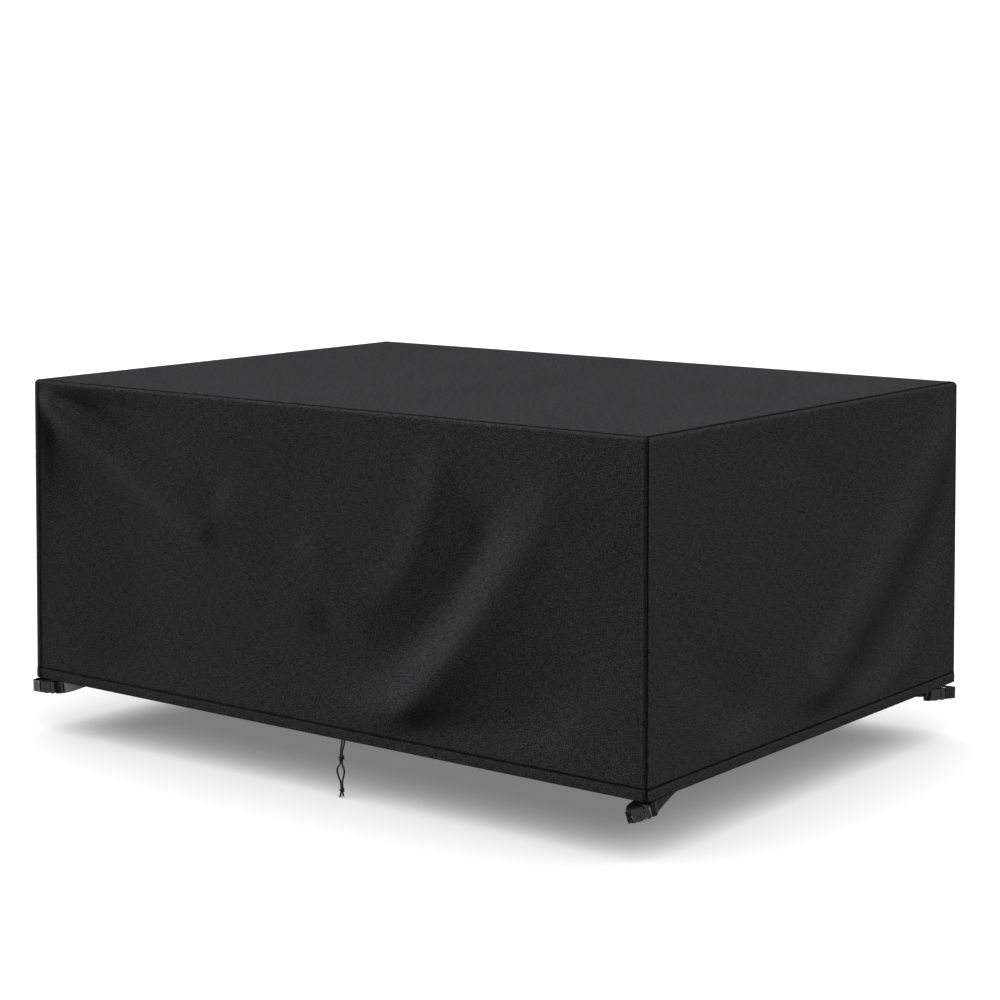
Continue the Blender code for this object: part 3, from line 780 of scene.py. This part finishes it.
def topPlaces(x, y):
    halfX, halfY = seamX - cover["seamGap"], seamY - cover["seamGap"]
    radius = cover["topCorner"] - cover["seamGap"]
    fromSeam = np.minimum(halfX - np.abs(x), halfY - np.abs(y))
    slack = ease(fromSeam, 0.0, hang["freeOfSeam"])
    z = slack * foldRise(x + halfX, y + halfY, topCloth["folds"], 2.0)
    z = z + topCloth["ripple"] * ease(fromSeam, 0.02, 0.2) * ripple(x * 0.45, y * 0.45)
    z = z - topCloth["dip"] * (1 - ease(fromSeam, 0.0, 0.0035))
    edge = np.where(halfX - np.abs(x) < halfY - np.abs(y), y, x)
    gathers = ease(fromSeam, 0.0, 0.004) * np.exp(-fromSeam / 0.02) * pucker(edge)
    z = z + topCloth["pucker"] * gathers
    # the corners in plan are rounded
    a = np.clip((np.abs(x) - halfX + radius) / radius, 0, 1)
    b = np.clip((np.abs(y) - halfY + radius) / radius, 0, 1)
    both = (a > 0) & (b > 0)
    roundX = np.sign(x) * (halfX - radius + radius * a * np.sqrt(1 - b * b / 2))
    roundY = np.sign(y) * (halfY - radius + radius * b * np.sqrt(1 - a * a / 2))
    return np.stack([np.where(both, roundX, x), np.where(both, roundY, y), cover["sheet"] + z], -1)


def makeTop():
    halfX, halfY = seamX - cover["seamGap"], seamY - cover["seamGap"]
    near = [0.0, 0.0007, 0.0015, 0.0027, 0.0045, 0.007, 0.010, 0.015, 0.022]
    lineX, lineY = (graded(2 * half, near, topCloth["step"]) - half for half in (halfX, halfY))
    x, y = np.meshgrid(lineX, lineY[::-1])
    place = topPlaces(x, y)
    fromSeam = np.minimum(halfX - np.abs(x), halfY - np.abs(y))
    # the top panel's edge at the seam is darkened: thread plus painted shade in the groove
    seamDarkAndPaintedShade = 1 - ease(fromSeam, 0.0006, 0.0030)
    piece = clothSheet("topPanel", place, np.stack([x + halfX, y + halfY], -1), seamDarkAndPaintedShade)
    finishPiece(piece, clothLook, [topCloth["node"]])
    print("topPanel made,", len(piece.data.polygons), "faces")


for sideName, sideValues in sides.items():
    makeSide(sideName, sideValues)
makeTop()


stitching = {
    "pitch": 0.0045, "length": 0.0034, "thread": 0.00042,
    "bow": ((-1, -0.0004), (-0.55, 0.0002), (0.55, 0.0002), (1, -0.0004)),
    "fromCorner": 0.0105, "fromTopSeam": 0.0052,
}


def makeStitches(name, spots, ahead, out):
    # one stitch, then a copy of it at each spot
    half = stitching["length"] / 2
    line = np.array([(half * reach, 0, lift) for reach, lift in stitching["bow"]])
    sideways, upwards = np.tile((0.0, 1.0, 0.0), (4, 1)), np.tile((0.0, 0.0, 1.0), (4, 1))
    one = sweptPiece(name, line, sideways, upwards, roundSection(stitching["thread"], 5))
    bare = np.array([tuple(vert.co) for vert in one.data.vertices])
    faces = [np.array(face.vertices) for face in one.data.polygons]
    bpy.data.objects.remove(one)
    across = np.cross(out, ahead)
    verts = spots[:, None] + sum(bare[None, :, i, None] * axis[:, None]
                                 for i, axis in enumerate((ahead, across, out)))
    mesh = bpy.data.meshes.new(name)
    every = [tuple(face + len(bare) * i) for i in range(len(spots)) for face in faces]
    mesh.from_pydata(verts.reshape(-1, 3).tolist(), [], every)
    finishPiece(addToScene(name, mesh), threadLook)
    print(name, "made,", len(spots), "stitches")


def evenly(low, high):
    count = int((high - low) / stitching["pitch"])
    return low + (high - low) * (np.arange(count) + 0.5) / count


def sewSides():
    rows = {"hem": [], "corner": []}
    for side in sides.values():
        share = np.linspace(-1, 1, int(2 * side["halfLength"] / stitching["pitch"]))
        flat, upright = np.zeros(len(share)), math.pi / 2
        hem = sidePlaces(side, share, flat, flat, flat + stitchDepth, flat + upright, flat - 0.0003)
        depth = evenly(cover["roll"] + 0.012, stitchDepth - 0.004)
        flat = np.zeros(len(depth))
        share = flat - 1 + stitching["fromCorner"] / side["halfLength"]
        corner = sidePlaces(side, share, flat, flat, depth, flat + upright, flat - 0.0001)
        for row, spots, ahead in (("hem", hem, side["along"]), ("corner", corner, (0, 0, -1))):
            axes = np.array((ahead, side["out"]), float)
            rows[row].append((spots, *(np.tile(axis, (len(spots), 1)) for axis in axes)))
    for row, parts in rows.items():
        makeStitches(row + "Stitches", *(np.vstack(part) for part in zip(*parts)))


def sewTop():
    halfX, halfY = seamX - stitching["fromTopSeam"], seamY - stitching["fromTopSeam"]
    spots, aheads = [], []
    for half, other, along in ((halfX, halfY, 0), (halfY, halfX, 1)):
        for sign in (-1, 1):
            run = evenly(-half, half)
            line = np.zeros((len(run), 2))
            line[:, along], line[:, 1 - along] = run, sign * other
            spots.append(topPlaces(line[:, 0], line[:, 1]) + (0, 0, 0.0001))
            aheads.append(np.tile(np.eye(3)[along], (len(run), 1)))
    spots, aheads = np.vstack(spots), np.vstack(aheads)
    makeStitches("topStitches", spots, aheads, np.tile((0.0, 0.0, 1.0), (len(spots), 1)))


sewSides()
sewTop()


outerPly, innerPly = 0.0041, 0.0063  # how far inside the hem's face a ply is sewn
# u runs along the panel that a strap is sewn to, v inwards, z up from the hem's foot
straps = {
    "near": {
        "corner": (1, -1), "u": (0, 1), "v": (-1, 0), "middle": (0.0066, 0.0200, -0.0277),
        "heading": 128, "drop": 18, "prongFirst": True,
        "short": ((0.150, outerPly, 0.0250), (0.125, outerPly, 0.0160), (0.100, outerPly, 0.0070),
                  (0.070, outerPly, -0.0050), (0.044, outerPly, -0.0160)),
        "long": ((0.150, innerPly, 0.0250), (0.132, 0.0072, 0.0190), (0.112, 0.0125, 0.0120),
                 (0.0661, 0.0281, -0.0050), (0.0463, 0.0431, -0.0175), (0.0285, 0.0546, -0.0255),
                 (0.0109, 0.0569, -0.0310), (-0.0018, 0.0521, -0.0345), (-0.0082, 0.0465, -0.0360)),
    },
    "right": {
        "corner": (1, 1), "u": (0, -1), "v": (-1, 0), "middle": (0.0552, 0.0231, -0.0270),
        "heading": 209, "drop": 0, "prongFirst": False,
        "short": ((0.172, outerPly, 0.0190), (0.158, outerPly, 0.0130), (0.142, 0.0062, 0.0055),
                  (0.120, 0.0210, -0.0080), (0.100, 0.0370, -0.0215)),
        "long": ((0.172, innerPly, 0.0190), (0.163, 0.0072, 0.0155), (0.153, 0.0112, 0.0115),
                 (0.132, 0.0330, 0.0010), (0.106, 0.0570, -0.0130), (0.074, 0.0650, -0.0220),
                 (0.040, 0.0630, -0.0270), (0.010, 0.0530, -0.0305), (-0.0100, 0.0400, -0.0325),
                 (-0.0165, 0.0240, -0.0330), (-0.0125, 0.0100, -0.0320), (0.0000, 0.0005, -0.0295)),
    },
    "left": {
        "corner": (-1, -1), "u": (1, 0), "v": (0, 1), "middle": (0.0460, 0.0015, -0.0220),
        "heading": 195, "drop": 1, "prongFirst": True,
        "short": ((0.210, outerPly, 0.0220), (0.180, outerPly, 0.0120), (0.145, outerPly, -0.0020),
                  (0.115, 0.0065, -0.0120), (0.094, 0.0105, -0.0180)),
        "long": ((0.210, innerPly, 0.0220), (0.187, 0.0072, 0.0143), (0.155, 0.0120, 0.0030),
                 (0.108, 0.0320, -0.0110), (0.066, 0.0460, -0.0180), (0.036, 0.0460, -0.0205),
                 (0.008, 0.0370, -0.0220), (-0.0110, 0.0210, -0.0230), (-0.0115, 0.0060, -0.0235),
                 (-0.0040, -0.0060, -0.0235)),
    },
}
straps["back"] = dict(straps["left"], corner=(-1, 1), v=(0, -1))
webbing = {"width": 0.030, "thickness": 0.0016, "layer": 0.00176, "lead": 0.004, "tail": 0.020}
# the webbing's way round a buckle's end bar: (into the buckle, towards its face), millimetres
barWrap = ((-2.4, 0.45), (-0.5, 1.50), (0.7, 2.05), (1.4, 2.38), (2.2, 2.50), (3.1, 2.33),
           (3.9, 1.80), (4.5, 0.95), (4.7, 0.0), (4.5, -0.95), (3.9, -1.80), (3.1, -2.33),
           (2.2, -2.50), (1.2, -2.35), (-0.4, -2.05), (-2.4, -1.83), (-4.3, -1.76))


def webbingSection():
    # flat with rounded selvedges
    halfWidth, half = webbing["width"] / 2, webbing["thickness"] / 2
    turns = np.radians([90, 54, 18, -18, -54, -90])
    right = np.stack([halfWidth - half + half * np.cos(turns), half * np.sin(turns)], -1)
    flats = np.linspace(-0.8, 0.8, 7) * halfWidth
    low = np.stack([-flats, np.full(7, -half)], -1)
    return np.vstack([right, low, -right, -low])


def axesAlong(ahead, side):
    ahead = ahead.normalized()
    across = (side - ahead * side.dot(ahead)).normalized()
    return ahead, across, ahead.cross(across)


def makeWebbing(name, route, pieces, acrossAtBuckle, pose, replaced):
    # the part's route, then round the buckle's bar and back under itself
    points = smoothRoute(route[:-1], pieces)
    share = np.arange(len(points)) / (len(points) - 1 + pieces)
    lean = ease(share, 0.5, 1.0)[:, None]
    side = np.array((0.0, 0.0, 1.0)) * (1 - lean) + np.array(acrossAtBuckle) * lean
    wrap = np.array([tuple(pose @ Vector((x, 0, z))) for x, z in barWrap])
    ahead = headings(points)
    across = unit(side - ahead * (side * ahead).sum(1)[:, None])
    flat = np.cross(ahead, across)
    if flat[-1] @ np.array(pose.to_3x3() @ Vector((0, 0, 1))) < 0:
        wrap = np.array([tuple(pose @ Vector((x, 0, -z))) for x, z in barWrap])
    tail = np.flatnonzero(runningLength(points[::-1]) < webbing["tail"])[1:]
    under = points[::-1][tail] - flat[::-1][tail] * webbing["layer"]
    every = np.vstack([points, wrap, under])
    everyAcross = np.vstack([across, np.tile(across[-1], (len(wrap), 1)), across[::-1][tail]])
    ahead = headings(every)
    everyAcross = unit(everyAcross - ahead * (everyAcross * ahead).sum(1)[:, None])
    piece = sweptPiece(name, every, everyAcross, np.cross(ahead, everyAcross), webbingSection())
    finishPiece(piece, tapeLook, replaced, 50)


# The side-release buckles are modelled in millimetres, with the webbing's end at x = 0.
buckle = {
    "thickness": 9.5, "crown": 0.7, "edge": 1.8, "length": 55.3, "slot": 15.15, "softening": 0.25,
    # outlines, as (from the webbing's end, half width)
    "socket": ((0.0, 14.4), (0.6, 15.4), (1.6, 16.3), (3.0, 16.8), (7.0, 17.0), (11.0, 16.9),
               (14.0, 16.3), (17.0, 15.9), (22.0, 15.8), (27.5, 15.9), (31.0, 16.5), (34.0, 17.0),
               (35.8, 16.9), (36.8, 16.2)),
    "prong": ((0.0, 14.4), (0.6, 15.3), (1.6, 16.0), (3.0, 16.2), (6.5, 16.2), (8.5, 16.4),
              (10.5, 17.3), (12.0, 18.1), (14.5, 18.2), (16.6, 18.1), (17.6, 17.5), (18.2, 16.8)),
    "arm": ((16.5, 9.6), (21.0, 9.9), (25.0, 10.9), (28.5, 12.4), (31.0, 13.4)),
    "armSection": ((1.3, 2.2), (0.9, 2.6), (-0.9, 2.6), (-1.3, 2.2),
                   (-1.3, -2.2), (-0.9, -2.6), (0.9, -2.6), (1.3, -2.2)),
}


def mouldingBlank(name, outline):
    # rounded sections along the buckle, drawn in at both ends
    outline, edge, crown = np.array(outline), buckle["edge"], buckle["crown"]
    length, half = outline[-1, 0], buckle["thickness"] / 2 - buckle["crown"]
    turn = np.radians(np.linspace(15, 90, 5))
    roundEnd, inset = edge * (1 - np.cos(turn)), edge * (1 - np.sin(turn))
    middle = np.arange(edge, length - edge, 1.6)
    x = np.concatenate([roundEnd[:-1], middle, length - roundEnd[::-1]])
    drawn = np.concatenate([inset[:-1], np.zeros(len(x) - 9), inset[::-1]])
    wide = np.interp(x, outline[:, 0], outline[:, 1]) - drawn - edge
    high = half + crown * np.sin(math.pi * x / length) ** 0.5 - drawn
    corner = np.radians(np.linspace(90, 0, 6))
    face, low = np.linspace(-1, 1, 9)[:-1], 0.8 * crown
    y = np.concatenate([wide[:, None] * face, wide[:, None] + edge * np.cos(corner)], 1)
    fall = np.concatenate([low * face ** 2, low + edge * (1 - np.sin(corner))])
    z = high[:, None] - fall
    y, z = np.hstack([y, y[:, ::-1], y[:, :1]]), np.hstack([z, -z[:, ::-1], z[:, :1]])
    places = np.stack([np.broadcast_to(x[:, None], y.shape), y, z], -1).transpose(1, 0, 2)
    piece, _, _ = gridPiece(name, places, places[..., :2])
    closeTube(piece)
    return piece


def block(low, high, edge=0.4):
    low, high = np.array(low, float), np.array(high, float)
    deselectAll()
    middle, size = tuple((low + high) / 2), tuple(high - low)
    bpy.ops.mesh.primitive_cube_add(size=1, location=middle, scale=size)
    made = bpy.context.object
    bpy.ops.object.transform_apply(location=True, rotation=True, scale=True)
    bpy.ops.object.mode_set(mode="EDIT")
    bpy.ops.mesh.select_all(action="SELECT")
    bpy.ops.mesh.bevel(offset=edge, segments=2, profile=0.5, affect="EDGES")
    bpy.ops.object.mode_set(mode="OBJECT")
    return made


def carve(piece, tool, operation="DIFFERENCE"):
    applyModifier(piece, "BOOLEAN", operation=operation, object=tool, solver="EXACT")
    bpy.data.objects.remove(tool)


def carveWide(piece, x, z, edge=0.4):
    # a cut as wide as the webbing's slot
    carve(piece, block((x[0], -buckle["slot"], z[0]), (x[1], buckle["slot"], z[1]), edge))


def openForWebbing(piece):
    # leaves a rounded bar across the end, with a slot behind it
    carveWide(piece, (-2, 7.0), (1.6, 8))
    carveWide(piece, (-2, 7.0), (-8, -1.6))
    carveWide(piece, (3.8, 7.0), (-3, 3), 0.2)
    carveWide(piece, (-3, 0.6), (-3, 3), 0.2)


def soften(piece):
    applyModifier(piece, "BEVEL", width=buckle["softening"], segments=2, limit_method="ANGLE",
                  angle_limit=math.radians(40))


def makeSocket():
    piece = mouldingBlank("socketMould", buckle["socket"])
    openForWebbing(piece)
    # side windows, the hollow for the prongs, a shallow panel on each face, grip lines
    for low, high in ((-20.0, -9.0), (9.0, 20.0)):
        carve(piece, block((14.2, low, -3.3), (28.8, high, 3.3), 1.2))
    carve(piece, block((12.0, -14.6, -3.1), (40.0, 14.6, 3.1), 0.8))
    for low, high in ((4.35, 8), (-8, -4.35)):
        carve(piece, block((16.0, -5.5, low), (30.5, 5.5, high), 0.3))
    for x in (32.6, 34.2):
        carve(piece, block((x, -12.5, 4.15), (x + 0.7, 12.5, 8), 0.1))
    soften(piece)
    return piece


def makeProng():
    piece = mouldingBlank("prongMould", buckle["prong"])
    openForWebbing(piece)
    # grip lines, the middle tongue, then the two arms with their ridged pads
    for x in (9.6, 11.4, 13.2):
        carve(piece, block((x, -11.5, 4.1), (x + 0.8, 11.5, 8), 0.1))
    carve(piece, block((16.5, -2.3, -2.2), (38.0, 2.3, 2.2), 0.6), "UNION")
    section = np.array(buckle["armSection"])
    for side in (-1, 1):
        points = smoothRoute([(x, side * y, 0) for x, y in buckle["arm"]], 4)
        arm = sweptPiece("arm", points, *frameAlong(points, (0, 1, 0)), section)
        carve(piece, arm, "UNION")
        low, high = sorted((side * 11.6, side * 16.7))
        carve(piece, block((27.6, low, -2.9), (39.6, high, 2.9), 0.9), "UNION")
        for x in (30.0, 32.2, 34.4, 36.6):
            low, high = sorted((side * 16.2, side * 18.0))
            carve(piece, block((x, low, -4), (x + 0.8, high, 4), 0.1))
    soften(piece)
    return piece


def placeCopy(mould, name, pose, replaced):
    piece = addToScene(name, mould.data.copy())
    piece.data.name = name
    piece.data.transform(pose)
    finishPiece(piece, plasticLook, replaced, 35)


def makeStraps():
    socket, prong = makeSocket(), makeProng()
    print("buckle moulded,", len(socket.data.polygons), "and", len(prong.data.polygons), "faces")
    small, halfLength = Matrix.Scale(0.001, 4), buckle["length"] / 2000
    for name, strap in straps.items():
        sideX, sideY = strap["corner"]
        corner = Vector((sideX * cover["hemLength"] / 2, sideY * cover["hemWidth"] / 2, hemFoot))
        u, v = Vector((*strap["u"], 0)), Vector((*strap["v"], 0))

        def placed(place):
            return corner + u * place[0] + v * place[1] + Vector((0, 0, place[2]))

        turn, drop = math.radians(strap["heading"]), math.radians(strap["drop"])
        level = u * math.cos(turn) + v * math.sin(turn)
        ahead = level * math.cos(drop) - Vector((0, 0, math.sin(drop)))
        ahead, across, flat = axesAlong(ahead, Vector((0, 0, 1)))
        middle = placed(strap["middle"])
        firstEnd, lastEnd = middle - ahead * halfLength, middle + ahead * halfLength
        first, last = (Matrix.Translation(end) @ Matrix(axes).transposed().to_4x4() @ small
                       for end, axes in ((firstEnd, (ahead, across, flat)),
                                         (lastEnd, (-ahead, across, -flat))))
        prongPose, socketPose = (first, last) if strap["prongFirst"] else (last, first)
        title = name.title()
        placeCopy(prong, "buckleProng" + title, prongPose, ["buckle_prong_" + name])
        placeCopy(socket, "buckleSocket" + title, socketPose, ["buckle_socket_" + name])
        for ply, end, way, pose in (("short", firstEnd, -ahead, first),
                                    ("long", lastEnd, ahead, last)):
            seat = end + way * cover["seamGap"]
            route = [placed(place) for place in strap[ply]]
            route += [seat + way * webbing["lead"], seat]
            makeWebbing("strap" + ply.title() + title, route, 8, across, pose,
                        [f"strap_{ply}_{name}"])
        print("strap", name, "made")
    for mould in (socket, prong):
        bpy.data.objects.remove(mould)


makeStraps()
